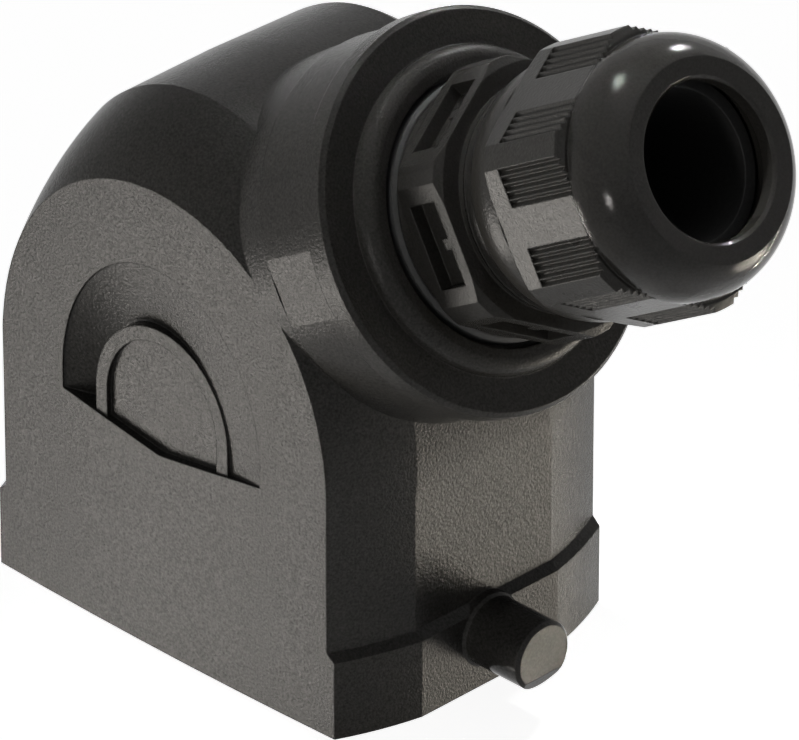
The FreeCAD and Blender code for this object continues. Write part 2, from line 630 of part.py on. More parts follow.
def gland_body():
    """Threaded tail, collar, hexagon with a sunk panel in each flat, and threaded neck."""
    back = WASHER_BACK - THREAD_TAIL
    seat = BODY_FRONT - CAGE_SEAT_DEPTH
    outline = Outline(BODY_BORE_RADIUS, back).line(THREAD_RADIUS, back).line(THREAD_RADIUS, BODY_BACK)
    outline.line(BODY_COLLAR_RADIUS, BODY_BACK).line(BODY_COLLAR_RADIUS, BODY_HEX_BACK)
    outline.line(BODY_NECK_RADIUS, BODY_HEX_BACK).line(BODY_NECK_RADIUS, BODY_FRONT - NECK_CHAMFER)
    outline.line(BODY_NECK_RADIUS - NECK_CHAMFER, BODY_FRONT).line(CAGE_SEAT_RADIUS, BODY_FRONT)
    outline.line(CAGE_SEAT_RADIUS, seat).line(BODY_BORE_RADIUS, seat)
    core = turned(outline)
    band = hexed(BODY_HEX_BACK, BODY_HEX_FRONT, BODY_ACROSS_FLATS, BODY_CORNER_RADIUS, BODY_CHAMFER)
    band = band.cut(disc(BODY_NECK_RADIUS - SMALL, BODY_HEX_BACK, BODY_HEX_FRONT))
    apothem = BODY_ACROSS_FLATS / 2
    middle = (BODY_HEX_BACK + BODY_HEX_FRONT) / 2
    low = middle - PANEL_LENGTH / 2
    high = middle + PANEL_LENGTH / 2
    floor = PANEL_DEPTH - apothem
    panel = box(-PANEL_HEIGHT / 2, PANEL_HEIGHT / 2, -apothem - CUT_MARGIN, floor, low, high)
    nub = box(-PANEL_NUB_WIDTH / 2, PANEL_NUB_WIDTH / 2, -apothem, floor, high - PANEL_NUB_REACH, high)
    panel = panel.cut(nub)
    panels = []
    for side in range(6):
        turned_panel = panel.copy()
        turned_panel.rotate(Vector(0, 0, 0), ALONG_Z, 60 * side)
        panels.append(turned_panel)
    return on_entry(core.fuse(band).cut(panels).removeSplitter())


def nut_cone_radius(station):
    """Radius of the cap nut's inner cone at a station along the entry axis."""
    share = (station - NUT_CONE_BACK) / (NUT_CONE_FRONT - NUT_CONE_BACK)
    return NUT_BORE_RADIUS + (NUT_CONE_TIP_RADIUS - NUT_BORE_RADIUS) * max(share, 0.0)


def grip_grooves():
    """V-grooves along one flat, in a group each side of its plain pad."""
    apothem = NUT_ACROSS_FLATS / 2
    half_flat = math.sqrt(NUT_CORNER_RADIUS ** 2 - apothem ** 2)
    pitch = (half_flat - GRIP_PAD_HALF) / GRIP_GROOVES
    low = NUT_HEX_BACK + GRIP_MARGIN
    grooves = []
    for side in (-1, 1):
        for count in range(GRIP_GROOVES):
            x = side * (GRIP_PAD_HALF + pitch * (count + 0.5))
            half = pitch / 2
            vee = Outline(x - half, -apothem - GRIP_DEPTH).line(x - half, -apothem)
            vee.line(x, GRIP_DEPTH - apothem).line(x + half, -apothem).line(x + half, -apothem - GRIP_DEPTH)
            face = Part.Face(vee.wire(lambda u, v: Vector(u, v, low)))
            grooves.append(face.extrude(Vector(0, 0, NUT_HEX_FRONT - low)))
    return grooves


def cap_nut():
    """Round collar, grooved hexagon and domed nose with a dished mouth."""
    grip = hexed(NUT_HEX_BACK, NUT_HEX_FRONT, NUT_ACROSS_FLATS, NUT_CORNER_RADIUS, NUT_CHAMFER)
    cutters = []
    for side in range(6):
        for groove in grip_grooves():
            groove.rotate(Vector(0, 0, 0), ALONG_Z, 60 * side)
            cutters.append(groove)
    grip = grip.cut(cutters)
    round_over = NUT_COLLAR_ROUND
    collar = Outline(0, NUT_BACK).line(NUT_COLLAR_RADIUS, NUT_BACK)
    swell_at = NUT_BACK + NUT_COLLAR_LENGTH / 3
    collar.arc(NUT_COLLAR_RADIUS + round_over, swell_at, NUT_DOME_RADIUS, NUT_HEX_BACK)
    collar.line(NUT_ROOT_RADIUS, NUT_HEX_BACK).line(NUT_ROOT_RADIUS, NUT_HEX_FRONT)
    collar.line(NUT_DOME_RADIUS, NUT_HEX_FRONT)
    half_way = (NUT_DOME_RADIUS + NUT_FRONT_RADIUS) / 2
    half_rise = math.sqrt(NUT_DOME_ROUND ** 2 - (half_way - NUT_DOME_CENTRE) ** 2)
    collar.arc(half_way, NUT_HEX_FRONT + half_rise, NUT_FRONT_RADIUS, NUT_FRONT)
    lip_front = NUT_FRONT - NUT_DISH_DEPTH
    collar.line(NUT_LIP_RADIUS + NUT_LIP_CHAMFER, lip_front)
    collar.line(NUT_LIP_RADIUS, lip_front - NUT_LIP_CHAMFER)
    collar.line(0, lip_front - NUT_LIP_CHAMFER)
    inside = Outline(0, NUT_BACK).line(NUT_BORE_RADIUS, NUT_BACK).line(NUT_BORE_RADIUS, NUT_CONE_BACK)
    inside.line(NUT_CONE_TIP_RADIUS, NUT_CONE_FRONT).line(NUT_LIP_RADIUS, NUT_CONE_FRONT)
    inside.line(NUT_LIP_RADIUS, NUT_FRONT).line(0, NUT_FRONT)
    return on_entry(turned(collar).fuse(grip).cut(turned(inside)))


def clamping_cage():
    """A ring in the body's seat with slotted fingers under the nut's cone."""
    inner = CAGE_OUTER - CAGE_WALL
    tip = nut_cone_radius(CAGE_FRONT) - CAGE_NUT_GAP
    outline = Outline(inner, CAGE_BACK).line(CAGE_OUTER, CAGE_BACK).line(CAGE_OUTER, NUT_CONE_BACK)
    outline.line(min(tip, CAGE_OUTER), CAGE_FRONT).line(inner, CAGE_FRONT)
    cage = turned(outline)
    slots = []
    for count in range(CAGE_FINGERS):
        slot_back = CAGE_BACK + CAGE_RING_LENGTH
        slot = box(0, NUT_BORE_RADIUS, -CAGE_SLOT / 2, CAGE_SLOT / 2, slot_back, CAGE_FRONT)
        slot.rotate(Vector(0, 0, 0), ALONG_Z, 360 * (count + 0.5) / CAGE_FINGERS)
        slots.append(slot)
    return on_entry(cage.cut(slots))


def sealing_grommet():
    """The rubber sleeve that seals round a cable, with a tapered nose."""
    outer = CAGE_OUTER - CAGE_WALL - GROMMET_CLEARANCE
    back = CAGE_BACK + GROMMET_END_GAP
    nose = min(nut_cone_radius(GROMMET_FRONT) - CAGE_NUT_GAP, outer)
    outline = Outline(GROMMET_BORE_RADIUS, back).line(outer, back).line(outer, CAGE_FRONT)
    outline.line(nose, GROMMET_FRONT).line(GROMMET_BORE_RADIUS, GROMMET_FRONT)
    return on_entry(turned(outline))


def contact_places():
    """Centres of the contacts, row by row, with the outward side of each row."""
    for row in range(CONTACT_ROWS):
        y = (row - (CONTACT_ROWS - 1) / 2) * CONTACT_PITCH_Y
        for column in range(CONTACT_COLUMNS):
            x = (column - (CONTACT_COLUMNS - 1) / 2) * CONTACT_PITCH_X
            yield x, y, math.copysign(1, y)


def side_disc(radius, x, y, near, far, side):
    """A disc along Y at the clamp screw's height, from near to far outwards of y."""
    start = Vector(x, y + side * near, CLAMP_HEIGHT)
    return Part.makeCylinder(radius, far - near, start, Vector(0, side, 0))


def insert_body():
    """Flanged moulding: open collar below, terminal block with wells above."""
    plate = rounded_box(INSERT_HALF_LENGTH, INSERT_HALF_WIDTH, PLATE_BOTTOM, PLATE_TOP, INSERT_CORNER_RADIUS)
    block = rounded_box(BLOCK_HALF_LENGTH, BLOCK_HALF_WIDTH, PLATE_BOTTOM, BLOCK_TOP, BLOCK_CORNER_RADIUS)
    collar = rounded_box(BLOCK_HALF_LENGTH, BLOCK_HALF_WIDTH, COLLAR_BOTTOM, PLATE_TOP, BLOCK_CORNER_RADIUS)
    recess_x = BLOCK_HALF_LENGTH - COLLAR_WALL
    recess_y = BLOCK_HALF_WIDTH - COLLAR_WALL
    recess = centred_box(recess_x, recess_y, COLLAR_BOTTOM - CUT_MARGIN, PLATE_BOTTOM)
    cutters = [recess]
    for x, y, side in contact_places():
        half_stem = STEM_HALF + STEM_CLEARANCE
        cutters.append(centred_box(half_stem, half_stem, PLATE_BOTTOM, TERMINAL_BOTTOM, x, y))
        half_x = TERMINAL_LENGTH / 2 + WELL_CLEARANCE
        half_y = TERMINAL_WIDTH / 2 + WELL_CLEARANCE
        cutters.append(centred_box(half_x, half_y, TERMINAL_BOTTOM, BLOCK_TOP, x, y))
        reach = (BLOCK_HALF_WIDTH - abs(y)) / 2
        access_y = side * (BLOCK_HALF_WIDTH - reach)
        low = CLAMP_HEIGHT - ACCESS_HALF
        cutters.append(centred_box(ACCESS_HALF, reach, low, CLAMP_HEIGHT + ACCESS_HALF, x, access_y))
    for x, y in fixing_places():
        cutters.append(disc(FIXING_RADIUS + FIXING_CLEARANCE, PLATE_BOTTOM, PLATE_TOP, x, y))
    for side in (-1, 1):
        notch_start = EARTH_LEG_X - EARTH_CLEARANCE
        notch_end = INSERT_HALF_LENGTH
        low = min(side * notch_start, side * notch_end)
        high = max(side * notch_start, side * notch_end)
        half = EARTH_PLATE_WIDTH / 2 + EARTH_CLEARANCE
        cutters.append(box(low, high, -half, half, PLATE_BOTTOM, PLATE_TOP))
        screw_low = PLATE_TOP - EARTH_SCREW_LENGTH
        cutters.append(disc(EARTH_SCREW_RADIUS, screw_low, PLATE_TOP, side * EARTH_SCREW_X, 0))
    return plate.multiFuse([block, collar]).cut(cutters)


def contact(x, y, side):
    """A pin, its stem through the moulding and its screw terminal."""
    tip = COLLAR_BOTTOM + PIN_SETBACK
    pin = Outline(0, tip).line(PIN_RADIUS - PIN_NOSE, tip).line(PIN_RADIUS, tip + PIN_NOSE)
    pin.line(PIN_RADIUS, PLATE_BOTTOM).line(0, PLATE_BOTTOM)
    shaft = turned(pin)
    shaft.translate(Vector(x, y, 0))
    stem = centred_box(STEM_HALF, STEM_HALF, PLATE_BOTTOM, TERMINAL_BOTTOM, x, y)
    top = TERMINAL_BOTTOM + TERMINAL_HEIGHT
    block = centred_box(TERMINAL_LENGTH / 2, TERMINAL_WIDTH / 2, TERMINAL_BOTTOM, top, x, y)
    wire_hole = disc(WIRE_HOLE_RADIUS, top - WIRE_HOLE_DEPTH, top, x, y)
    screw_hole = side_disc(CLAMP_SCREW_RADIUS, x, y, 0, TERMINAL_WIDTH / 2, side)
    return block.multiFuse([stem, shaft]).cut([wire_hole, screw_hole])


def terminal_screws():
    """Slotted clamp screws, one in each terminal."""
    screws = []
    for x, y, side in contact_places():
        near = CLAMP_SCREW_TIP
        far = TERMINAL_WIDTH / 2
        screw = side_disc(CLAMP_SCREW_RADIUS, x, y, near, far, side)
        depth = y + side * (far - DRIVER_SLOT_DEPTH)
        outer = y + side * (far + CUT_MARGIN)
        slot = box(x - DRIVER_SLOT / 2, x + DRIVER_SLOT / 2, min(depth, outer), max(depth, outer),
                   CLAMP_HEIGHT - CLAMP_SCREW_RADIUS, CLAMP_HEIGHT + CLAMP_SCREW_RADIUS)
        screws.append(screw.cut(slot))
    return Part.makeCompound(screws)


def headed_screw(radius, head_radius, head_low, head_high, shank_end, x, y):
    """A slotted screw along Z with its head between two levels."""
    shank_low = min(shank_end, head_low)
    shank_high = max(shank_end, head_high)
    upward = shank_end > head_high
    screw = disc(radius, shank_low, shank_high, x, y).fuse(disc(head_radius, head_low, head_high, x, y))
    if upward:
        slot_low = head_low - CUT_MARGIN
        slot_high = head_low + DRIVER_SLOT_DEPTH
    else:
        slot_low = head_high - DRIVER_SLOT_DEPTH
        slot_high = head_high + CUT_MARGIN
    slot = centred_box(head_radius, DRIVER_SLOT / 2, slot_low, slot_high, x, y)
    return screw.cut(slot).removeSplitter()


def fixing_screws():
    """The four screws that hold the insert to the hood's corner posts."""
    screws = []
    low = PLATE_BOTTOM - FIXING_HEAD_LENGTH
    end = PLATE_TOP + FIXING_GRIP - FIXING_END_GAP
    for x, y in fixing_places():
        screws.append(headed_screw(FIXING_RADIUS - SEAT_GAP, FIXING_HEAD_RADIUS, low, PLATE_BOTTOM, end, x, y))
    return Part.makeCompound(screws)


def earth_plate(side):
    """An angle plate: screwed to the flange, with a leg down past the insert's end."""
    top = PLATE_TOP + EARTH_PLATE_THICKNESS
    half = EARTH_PLATE_WIDTH / 2
    leg_end = EARTH_LEG_X + EARTH_PLATE_THICKNESS
    seat = box(EARTH_PLATE_START, leg_end, -half, half, PLATE_TOP, top)
    leg = box(EARTH_LEG_X, leg_end, -half, half, PLATE_BOTTOM - EARTH_PLATE_DROP, top)
    hole = disc(EARTH_SCREW_RADIUS + EARTH_CLEARANCE, PLATE_TOP, top, EARTH_SCREW_X, 0)
    plate = seat.fuse(leg).cut(hole).removeSplitter()
    return plate if side > 0 else mirrored_x(plate)


def earth_washers():
    low = PLATE_TOP + EARTH_PLATE_THICKNESS
    high = low + EARTH_WASHER_THICKNESS
    washers = []
    for side in (-1, 1):
        x = side * EARTH_SCREW_X
        hole = disc(EARTH_SCREW_RADIUS + EARTH_CLEARANCE, low, high, x, 0)
        washers.append(disc(EARTH_WASHER_RADIUS, low, high, x, 0).cut(hole))
    return Part.makeCompound(washers)


def earth_screws():
    low = PLATE_TOP + EARTH_PLATE_THICKNESS + EARTH_WASHER_THICKNESS
    high = low + EARTH_HEAD_LENGTH
    end = PLATE_TOP - EARTH_SCREW_LENGTH + SEAT_GAP
    screws = []
    for side in (-1, 1):
        radius = EARTH_SCREW_RADIUS - SEAT_GAP
        screws.append(headed_screw(radius, EARTH_HEAD_RADIUS, low, high, end, side * EARTH_SCREW_X, 0))
    return Part.makeCompound(screws)


def all_pieces():
    pieces = {
        "hood_shell": hood_shell(),
        "entry_adapter": entry_adapter(),
        "entry_o_ring": entry_o_ring(),
        "gland_washer": gland_washer(),
        "gland_body": gland_body(),
        "clamping_cage": clamping_cage(),
        "sealing_grommet": sealing_grommet(),
        "cap_nut": cap_nut(),
        "insert_body": insert_body(),
        "terminal_screws": terminal_screws(),
        "fixing_screws": fixing_screws(),
        "earth_plate_left": earth_plate(-1),
        "earth_plate_right": earth_plate(1),
        "earth_washers": earth_washers(),
        "earth_screws": earth_screws(),
    }
    for number, place in enumerate(contact_places(), start=1):
        pieces[f"contact_{number}"] = contact(*place)
    return pieces


os.makedirs("parts", exist_ok=True)
for name, shape in all_pieces().items():
    shape.exportStep(f"parts/{name}.step")
    state = "valid" if shape.isValid() else "INVALID"
    print(name, len(shape.Solids), "solid(s)", round(shape.Volume, 1), "mm3", state)
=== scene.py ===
# %% [markdown]
# A connector hood with a slanted cable gland, dressed for its portrait.
# The solids come from the CAD frame and stay as they are. This lesson gives them their finishes,
# winds the fine thread that the solids leave out, and sets up the studio.

# %% Load the frame
import json
import math

import bpy
from mathutils import Euler, Matrix, Vector


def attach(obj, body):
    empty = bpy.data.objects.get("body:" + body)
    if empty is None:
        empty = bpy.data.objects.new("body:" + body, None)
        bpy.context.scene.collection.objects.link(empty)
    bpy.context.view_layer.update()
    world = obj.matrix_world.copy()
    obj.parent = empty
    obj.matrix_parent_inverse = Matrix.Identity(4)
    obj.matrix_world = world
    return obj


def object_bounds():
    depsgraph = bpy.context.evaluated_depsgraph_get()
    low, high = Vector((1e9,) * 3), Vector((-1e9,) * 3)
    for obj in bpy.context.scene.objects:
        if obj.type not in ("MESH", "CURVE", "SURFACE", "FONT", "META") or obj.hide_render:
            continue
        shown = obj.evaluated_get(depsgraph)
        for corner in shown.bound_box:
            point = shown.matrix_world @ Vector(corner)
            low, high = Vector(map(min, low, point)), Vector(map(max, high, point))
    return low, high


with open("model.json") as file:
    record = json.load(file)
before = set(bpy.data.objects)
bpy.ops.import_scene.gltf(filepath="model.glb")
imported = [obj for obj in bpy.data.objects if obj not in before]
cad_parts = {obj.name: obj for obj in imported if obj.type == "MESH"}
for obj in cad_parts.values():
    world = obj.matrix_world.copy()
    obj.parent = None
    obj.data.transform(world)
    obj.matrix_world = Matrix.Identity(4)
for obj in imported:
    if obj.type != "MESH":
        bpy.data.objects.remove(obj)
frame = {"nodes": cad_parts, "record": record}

nodes = frame["nodes"]
cad_low, cad_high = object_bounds()
MM = 0.001

# %% [markdown]
# The camera. A long lens far away flattens perspective, as product photographers like it.
# It could be aimed with a tracking constraint, but the angle was measured from the photograph's
# own edges, so its place and turn are simply written down.

# %% Camera
CAMERA_PLACE = Vector((0.73996, -0.72392, 0.62520))
CAMERA_TURN_DEG = (60.0, 0.0, 45.0)
CAMERA_LENS = 482.1
CAMERA_SENSOR = 36.0

camera_data = bpy.data.cameras.new("camera")
camera_data.lens = CAMERA_LENS
camera_data.sensor_width = CAMERA_SENSOR
camera = bpy.data.objects.new("camera", camera_data)
camera.location = CAMERA_PLACE
camera.rotation_euler = Euler([math.radians(turn) for turn in CAMERA_TURN_DEG])
bpy.context.scene.collection.objects.link(camera)
bpy.context.scene.camera = camera
bpy.context.scene.view_settings.view_transform = "Standard"
print("camera", round((CAMERA_PLACE - (cad_low + cad_high) / 2).length, 3), "m away")

# %% [markdown]
# Every material here is a small node tree. A few helpers keep the lines short: one adds a node
# and fills its sockets, one starts a material, and one starts a node group with named sockets.


# %% Helpers for node trees
def add(tree, kind, values=None, **settings):
    """Adds a node, sets its properties, and fills or links its inputs by name or number."""
    node = tree.nodes.new(kind)
    for name, value in settings.items():
        setattr(node, name, value)
    for key, value in (values or {}).items():
        if isinstance(value, bpy.types.NodeSocket):
            tree.links.new(value, node.inputs[key])
        else:
            node.inputs[key].default_value = value
    return node


def maths(tree, operation, first, second=0.0, clamp=False):
    """The result of one sum, as a socket that the next node can take."""
    values = {0: first, 1: second}
    return add(tree, "ShaderNodeMath", values, operation=operation, use_clamp=clamp).outputs[0]


def from_texture(tree, value, low, high):
    """Spreads a texture's value, which runs from nothing to one, between two others."""
    values = {"Value": value, "To Min": low, "To Max": high}
    return add(tree, "ShaderNodeMapRange", values).outputs[0]


def new_group(name, given, made):
    """A shader node group with its named inputs and outputs."""
    tree = bpy.data.node_groups.new(name, "ShaderNodeTree")
    for label, value in given.items():
        socket = tree.interface.new_socket(label, in_out="INPUT", socket_type="NodeSocketFloat")
        socket.default_value = value
    for label, kind in made.items():
        tree.interface.new_socket(label, in_out="OUTPUT", socket_type=kind)
    start = tree.nodes.new("NodeGroupInput")
    end = tree.nodes.new("NodeGroupOutput")
    return tree, start.outputs, end.inputs


def new_material(name):
    material = bpy.data.materials.new(name)
    material.use_nodes = True
    material.node_tree.nodes.clear()
    return material, material.node_tree


def finish_material(tree, shader):
    add(tree, "ShaderNodeOutputMaterial", {"Surface": shader})


print("helpers ready")

# %% [markdown]
# The grain of moulded plastic. The mould's cavity is spark eroded, which leaves tiny round pits
# that show as a fine speckle where light rakes across them. An image could carry it, but noise
# read from the solid's own coordinates has no seams and fits every piece. Two sizes are mixed:
# the speckle itself, and a slow cloud that keeps broad faces from looking dead.

# %% Grain group
SPECKLE_DETAIL = 2.0
CLOUD_DETAIL = 3.0
NOISE_MIDDLE = 0.5
NOISE_GAIN = 4.0

grain, given, made = new_group(
    "moulded_grain",
    {"Speckle Size": 0.30, "Cloud Size": 9.0, "Contrast": 0.2},
    {"Tone": "NodeSocketFloat", "Height": "NodeSocketFloat", "Cloud": "NodeSocketFloat"},
)
place = add(grain, "ShaderNodeTexCoord").outputs["Object"]
scaled = add(grain, "ShaderNodeVectorMath", {0: place, "Scale": 1 / MM}, operation="SCALE")


def noise(size, detail):
    """Noise whose features are about as large as the size, in millimetres."""
    scale = maths(grain, "DIVIDE", 1.0, size)
    inputs = {"Vector": scaled.outputs[0], "Scale": scale, "Detail": detail}
    return add(grain, "ShaderNodeTexNoise", inputs).outputs["Fac"]


speckle = noise(given["Speckle Size"], SPECKLE_DETAIL)
cloud = noise(given["Cloud Size"], CLOUD_DETAIL)
centred = maths(grain, "SUBTRACT", speckle, NOISE_MIDDLE)
swing = maths(grain, "MULTIPLY", centred, given["Contrast"])
tone = maths(grain, "ADD", maths(grain, "MULTIPLY", swing, NOISE_GAIN), 1.0)
grain.links.new(tone, made["Tone"])
grain.links.new(speckle, made["Height"])
grain.links.new(cloud, made["Cloud"])
print("grain group with", len(grain.nodes), "nodes")

# %% [markdown]
# Edges. No moulded or turned edge is perfectly sharp: a small round catches the light. The Bevel
# node gives the normal that a rounded edge would have. Where that normal leaves the true one, the
# group marks an edge, and the materials lighten the colour there: partly for rubbing by handling,
# partly as a painted highlight along the edge. Real rounds would show the same light, but they
# would change the solids, which stay as the frame gives them.

# %% Edge group
BEVEL_SAMPLES = 6

edges, given, made = new_group(
    "soft_edges",
    {"Radius": 0.25, "Reach": 6.0},
    {"Normal": "NodeSocketVector", "Edge": "NodeSocketFloat"},
)
radius = maths(edges, "MULTIPLY", given["Radius"], MM)
rounded = add(edges, "ShaderNodeBevel", {"Radius": radius}, samples=BEVEL_SAMPLES).outputs[0]
true_normal = add(edges, "ShaderNodeNewGeometry").outputs["Normal"]
both = {0: rounded, 1: true_normal}
agree = add(edges, "ShaderNodeVectorMath", both, operation="DOT_PRODUCT").outputs["Value"]
leave = maths(edges, "SUBTRACT", 1.0, agree)
edges.links.new(rounded, made["Normal"])
edges.links.new(maths(edges, "MULTIPLY", leave, given["Reach"], clamp=True), made["Edge"])
print("edge group with", len(edges.nodes), "nodes")

# %% [markdown]
# Where the plastic shines. The cap nut's dome came from a polished part of the mould, and the
# lever has rubbed the locking pegs smooth, while all else is matt. Both places begin at a plane,
# so the group measures how far a point lies past it and turns that into a mask. A second
# material would need the solid's faces sorted, which the frame's loose triangles make clumsy.

# %% Shine group
ENTRY_CENTRE = Vector((0.0, 0.0, 42.6)) * MM
ENTRY_RISE_DEG = 30
rise = math.radians(ENTRY_RISE_DEG)
ENTRY_AXIS = Vector((math.cos(rise), 0.0, math.sin(rise)))

shines, given, made = new_group(
    "shining_places",
    {"Dome Starts": 65.9, "Pegs Start": 30.8, "Blend": 0.5},
    {"Dome": "NodeSocketFloat", "Pegs": "NodeSocketFloat"},
)
place = add(shines, "ShaderNodeTexCoord").outputs["Object"]
from_centre = add(shines, "ShaderNodeVectorMath", {0: place, 1: ENTRY_CENTRE}, operation="SUBTRACT")
both = {0: from_centre.outputs[0], 1: ENTRY_AXIS}
along = add(shines, "ShaderNodeVectorMath", both, operation="DOT_PRODUCT").outputs["Value"]
sideways = add(shines, "ShaderNodeSeparateXYZ", {0: place}).outputs["X"]
outward = maths(shines, "ABSOLUTE", sideways)


def past(distance, start, mask):
    """Fills a mask of the group where a distance has passed its starting plane."""
    beyond = maths(shines, "SUBTRACT", maths(shines, "DIVIDE", distance, MM), given[start])
    shines.links.new(maths(shines, "DIVIDE", beyond, given["Blend"], clamp=True), made[mask])


past(along, "Dome Starts", "Dome")
past(outward, "Pegs Start", "Pegs")
print("shine group with", len(shines.nodes), "nodes")

# %% [markdown]
# The plastics. Hood, adapter, gland and nut are glass-filled nylon in near-black greys that
# differ in gloss: the hood is spark eroded and matt, the gland is satin, and the nut's dome is
# polished. The pits of the grain hold back some of the gloss, so the speckle scales the
# reflection too. One function builds them all from a colour, a roughness and the grain's
# strength, because the real differences are only these.


# %% Plastic
CLOUD_TONES = (0.93, 1.07)
CLOUD_ROUGHNESS = (0.92, 1.08)
GRAIN_LOST = 1.5


def plastic(name, colour, roughness, specular, grain_depth, contrast=0.2, speckle=0.30,
            wear_and_edge_highlight=0.35, shine=None, polish=0.6):
    """Builds one plastic. Where the named shine is, polish makes it smoother by that share."""
    material, tree = new_material(name)
    texture = add(tree, "ShaderNodeGroup", node_tree=grain)
    texture.inputs["Contrast"].default_value = contrast
    texture.inputs["Speckle Size"].default_value = speckle
    texture = texture.outputs
    edge = add(tree, "ShaderNodeGroup", node_tree=edges).outputs
    clouded = from_texture(tree, texture["Cloud"], *CLOUD_TONES)
    tone = maths(tree, "MULTIPLY", texture["Tone"], clouded)
    # Edges are lightened here: partly rubbed wear, partly a painted highlight along the edge.
    tone = maths(tree, "ADD", tone, maths(tree, "MULTIPLY", edge["Edge"], wear_and_edge_highlight))
    tinted = add(tree, "ShaderNodeVectorMath", {0: colour, "Scale": tone}, operation="SCALE")
    rough_low, rough_high = (roughness * share for share in CLOUD_ROUGHNESS)
    rough = from_texture(tree, texture["Cloud"], rough_low, rough_high)
    height = texture["Height"]
    if shine:
        mask = add(tree, "ShaderNodeGroup", node_tree=shines).outputs[shine]
        smoother = maths(tree, "SUBTRACT", 1.0, maths(tree, "MULTIPLY", mask, polish))
        flatter = maths(tree, "SUBTRACT", 1.0, maths(tree, "MULTIPLY", mask, GRAIN_LOST * polish))
        rough = maths(tree, "MULTIPLY", rough, smoother)
        height = maths(tree, "MULTIPLY", height, flatter)
    bump = add(tree, "ShaderNodeBump", {
        "Height": height,
        "Distance": grain_depth * MM,
        "Strength": 1.0,
        "Normal": edge["Normal"],
    })
    shader = add(tree, "ShaderNodeBsdfPrincipled", {
        "Base Color": tinted.outputs[0],
        "Roughness": rough,
        "Specular IOR Level": maths(tree, "MULTIPLY", texture["Tone"], specular),
        "Normal": bump.outputs[0],
    })
    finish_material(tree, shader.outputs[0])
    return material


housing_plastic = plastic(
    "housing_plastic", (0.031, 0.030, 0.028),
    roughness=0.26, specular=0.08, grain_depth=0.07, contrast=0.35, shine="Pegs",
)
adapter_plastic = plastic(
    "adapter_plastic", (0.029, 0.028, 0.026),
    roughness=0.26, specular=0.08, grain_depth=0.06, contrast=0.3,
)
gland_plastic = plastic(
    "gland_plastic", (0.028, 0.027, 0.025),
    roughness=0.26, specular=0.09, grain_depth=0.05,
)
nut_plastic = plastic(
    "nut_plastic", (0.025, 0.024, 0.022),
    roughness=0.28, specular=0.12, grain_depth=0.05, shine="Dome", polish=0.55,
)
insert_plastic = plastic(
    "insert_plastic", (0.60, 0.59, 0.55),
    roughness=0.45, specular=0.5, grain_depth=0.01, contrast=0.04,
)
seal_rubber = plastic(
    "seal_rubber", (0.022, 0.022, 0.022),
    roughness=0.62, specular=0.3, grain_depth=0.02, contrast=0.1, speckle=0.6,
)
print("plastics and rubber ready")

# %% [markdown]
# The metals. Screws and earth plates are zinc plated steel, contacts are silver plated. Plating
# has a slightly cloudy shine, which roughness alone can tell. An image of worn metal would do
# as well, but these pieces are small, and the grain group already holds what they need.


# %% Metal
PLATING_CONTRAST = 0.05
PLATING_ROUGHNESS = (0.8, 1.3)
PLATING_DEPTH = 0.004 * MM
PLATING_BUMP = 0.5
PLATED_EDGE = 0.12
# How much paler plated edges get: partly rubbed plating, partly a painted edge highlight.
PLATED_WEAR_AND_HIGHLIGHT = 0.2


def plated(name, colour, roughness):
    """Builds one plated metal."""
    material, tree = new_material(name)
    texture = add(tree, "ShaderNodeGroup", node_tree=grain)
    texture.inputs["Contrast"].default_value = PLATING_CONTRAST
    texture = texture.outputs
    edge = add(tree, "ShaderNodeGroup", node_tree=edges)
    edge.inputs["Radius"].default_value = PLATED_EDGE
    # Edges are made paler here: partly rubbed plating, partly a painted highlight along the edge.
    rubbed_and_highlit_edge = maths(tree, "MULTIPLY", edge.outputs["Edge"], PLATED_WEAR_AND_HIGHLIGHT)
    tone = maths(tree, "ADD", texture["Tone"], rubbed_and_highlit_edge)
    tinted = add(tree, "ShaderNodeVectorMath", {0: colour, "Scale": tone}, operation="SCALE")
    rough_low, rough_high = (roughness * share for share in PLATING_ROUGHNESS)
    bump = add(tree, "ShaderNodeBump", {
        "Height": texture["Height"],
        "Distance": PLATING_DEPTH,
        "Strength": PLATING_BUMP,
        "Normal": edge.outputs["Normal"],
    })
    shader = add(tree, "ShaderNodeBsdfPrincipled", {
        "Base Color": tinted.outputs[0],
        "Roughness": from_texture(tree, texture["Cloud"], rough_low, rough_high),
        "Metallic": 1.0,
        "Normal": bump.outputs[0],
    })
    finish_material(tree, shader.outputs[0])
    return material


screw_steel = plated("screw_steel", (0.62, 0.62, 0.60), roughness=0.30)
earth_steel = plated("earth_steel", (0.58, 0.58, 0.56), roughness=0.36)
contact_metal = plated("contact_metal", (0.76, 0.74, 0.68), roughness=0.25)
print("metals ready")

# %% [markdown]
# Which solid has which finish is written in the frame's record, so the solids aren't named here.
# Naming them one by one would work as well, but would have to follow every change of the record.

# %% Give each solid its finish
finishes = {
    "housing_plastic": housing_plastic,
    "adapter_plastic": adapter_plastic,
    "gland_plastic": gland_plastic,
    "nut_plastic": nut_plastic,
    "insert_plastic": insert_plastic,
    "seal_rubber": seal_rubber,
    "contact_metal": contact_metal,
    "screw_steel": screw_steel,
    "earth_steel": earth_steel,
}
subparts = frame["record"]["subparts"]
for subpart in subparts:
    for slot in nodes[subpart["node"]].material_slots:
        slot.material = finishes[subpart["material_slot"]]
print(len(subparts), "solids dressed")

# %% [markdown]
# The thread under the cap nut. The gland body carries a fine metric thread on which the nut
# travels; the solids leave it plain. It follows a rule, a ridge wound round the axis with a
# fixed pitch, so Geometry Nodes make it: a spiral, a small triangle swept along it, and a turn
# onto the gland's axis. A sculpted or modelled ridge would have to be redone for each pitch.


# %% Thread tree
SPIRAL_STEPS = 48
RIDGE_CORNERS = 3


